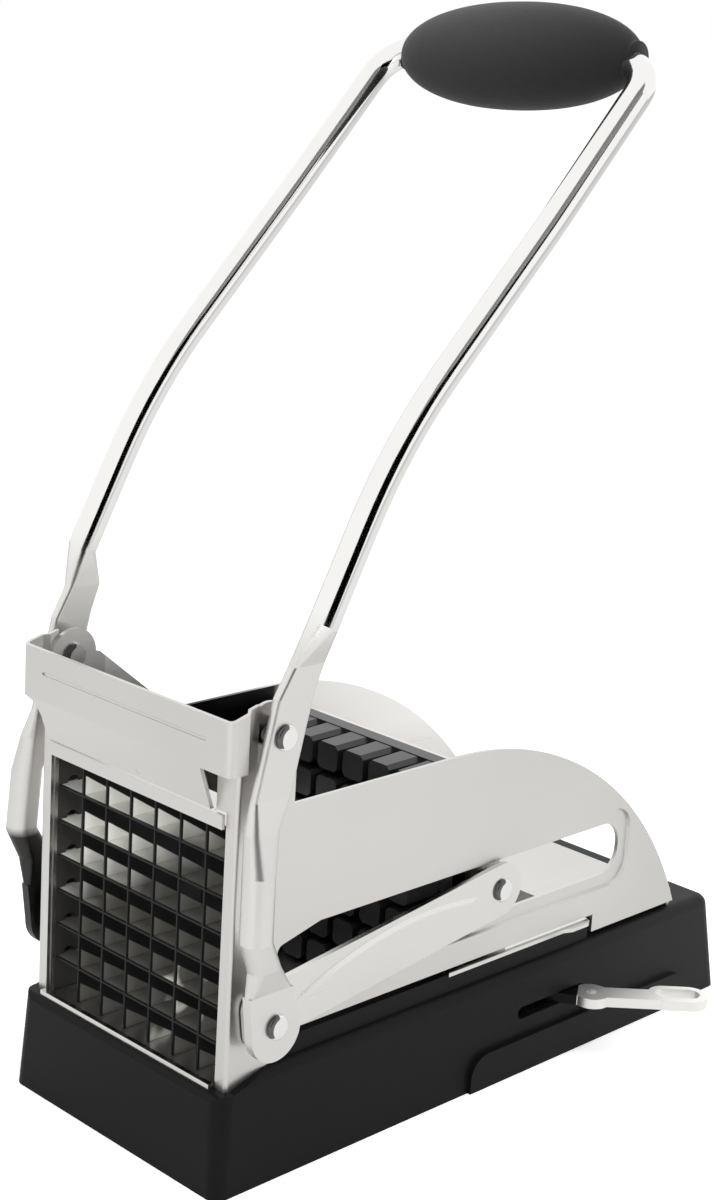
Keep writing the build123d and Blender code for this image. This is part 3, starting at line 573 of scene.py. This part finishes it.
def studioFloor():
    paint = newRecipe("paleFloor")
    mirrored = paint.node("ShaderNodeLightPath", {}, {}, "Is Glossy Ray")
    seen = paint.node("ShaderNodeLightPath", {}, {}, "Is Camera Ray")
    tint = paint.blend(mirrored, grey(studio["floor"]), grey(studio["floorMirrored"]))
    tint = paint.blend(seen, tint, grey(studio["floorSeen"]))
    corners = [(x * studio["reach"], y * studio["reach"], 0) for x, y in ((-1, -1), (1, -1), (1, 1), (-1, 1))]
    board("studioFloor", corners, paint, tint)


def studioWorld():
    world = bpy.data.worlds.new("softStudio")
    bpy.context.scene.world = world
    sky = Recipe(world)
    mirrored = sky.node("ShaderNodeLightPath", {}, {}, "Is Glossy Ray")
    seen = sky.node("ShaderNodeLightPath", {}, {}, "Is Camera Ray")
    rays = ((mirrored, studio["worldMirrored"]), (seen, studio["worldSeen"]))
    level = studio["world"]
    for share, other in rays:
        level = sky.node("ShaderNodeMix", {}, {"Factor": share, "A": level, "B": other})
    light = sky.node("ShaderNodeBackground", {}, {"Color": grey(1.0), "Strength": level})
    sky.end(light, "ShaderNodeOutputWorld")


lampAim = (0, 0, 0.1)
lamps = {
    "overhead": {"place": (0.1, -0.2, 1.4), "size": 1.2, "power": 6.0},
    "side": {"place": (1.2, -0.3, 0.7), "size": 0.8, "power": 5.0},
    "front": {"place": (0.75, -1.1, 0.12), "size": 0.5, "power": 7.0},
}


def softLamps():
    for name, lamp in lamps.items():
        light = bpy.data.lights.new(name, "AREA")
        light.size = lamp["size"]
        light.energy = lamp["power"]
        holder = newObject(name, light)
        holder.location = lamp["place"]
        holder.visible_glossy = False
        away = Vector(lamp["place"]) - Vector(lampAim)
        holder.rotation_euler = away.to_track_quat("Z", "Y").to_euler()


# a card spans two azimuths at its lower edge and two at its upper edge
cardDistance = 1.2
cards = {
    "darkCard": {"low": -0.05, "high": 1.0, "lowTurn": (-54, -2), "highTurn": (-34, 14), "grey": 0.002},
    "greyCard": {"low": 1.0, "high": 2.2, "lowTurn": (-30, 14), "highTurn": (-20, 22), "grey": 0.42},
}


def shadeCards():
    for name, card in cards.items():
        corners = []
        for level, side in (("low", 0), ("low", 1), ("high", 1), ("high", 0)):
            turn = math.radians(card[level + "Turn"][side])
            corners.append((cardDistance * math.cos(turn), cardDistance * math.sin(turn), card[level]))
        hung = board(name, corners, newRecipe(name), grey(card["grey"]))
        hung.visible_camera = False
        hung.visible_diffuse = False
        hung.visible_shadow = False


camera = {
    "place": (0.43252, -0.47097, 0.31049), "azimuth": 44.37, "elevation": 14.82, "roll": 3.45,
    "lens": 64.83, "sensor": 36.0,
}


def aimCamera():
    turn, tilt, roll = (math.radians(camera[key]) for key in ("azimuth", "elevation", "roll"))
    look = Vector((-math.sin(turn) * math.cos(tilt), math.cos(turn) * math.cos(tilt), -math.sin(tilt)))
    right = Vector((math.cos(turn), math.sin(turn), 0))
    up = right.cross(look)
    leanRight = right * math.cos(roll) + up * math.sin(roll)
    leanUp = up * math.cos(roll) - right * math.sin(roll)
    data = bpy.data.cameras.new("camera")
    data.sensor_fit = "VERTICAL"
    data.sensor_height = camera["sensor"]
    data.lens = camera["lens"]
    holder = newObject("camera", data)
    turned = Matrix((leanRight, leanUp, -look)).transposed().to_4x4()
    holder.matrix_world = Matrix.Translation(camera["place"]) @ turned
    bpy.context.scene.camera = holder


studioFloor()
studioWorld()
softLamps()
shadeCards()
aimCamera()
bpy.context.scene.view_settings.view_transform = "Standard"
print("studio and camera")
